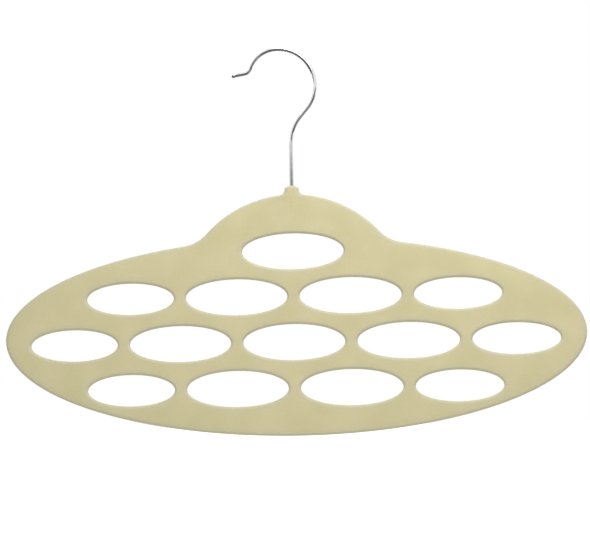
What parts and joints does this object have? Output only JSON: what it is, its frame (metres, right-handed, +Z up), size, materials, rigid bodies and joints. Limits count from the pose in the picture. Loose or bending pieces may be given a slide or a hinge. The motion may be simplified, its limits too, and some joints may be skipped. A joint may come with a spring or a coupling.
{
  "type": "scarf hanger",
  "caption": "Flat velvet-flocked oval board with rows of oval loops for scarves, belts or ties, hung from a swivelling chromed wire hook.",
  "frame": {"origin": "underside of the hook's crown, where a rail bears, straight above the swivel axis", "axes": "+X along the board to the right as seen from the front, +Y out of the back face, +Z up along the swivel axis"},
  "size_m": [0.445, 0.0076, 0.2991],
  "materials": {
    "board_plastic": "moulded styrene or ABS, plain, hidden under the flock",
    "velvet_flock": "short upright nylon pile in khaki beige, matt with a soft sheen",
    "chromed_wire": "bright chromed drawn steel wire"
  },
  "bodies": {
    "hook": {"hook_wire": "chromed_wire"},
    "board": {"core_board": "board_plastic", "flock_coat": "velvet_flock"}
  },
  "joints": [
    {"name": "hook_swivel", "type": "hinge", "parent": "hook", "child": "board", "pos_m": [0, 0, -0.1], "axis": [0, 0, 1], "continuous": true}
  ]
}
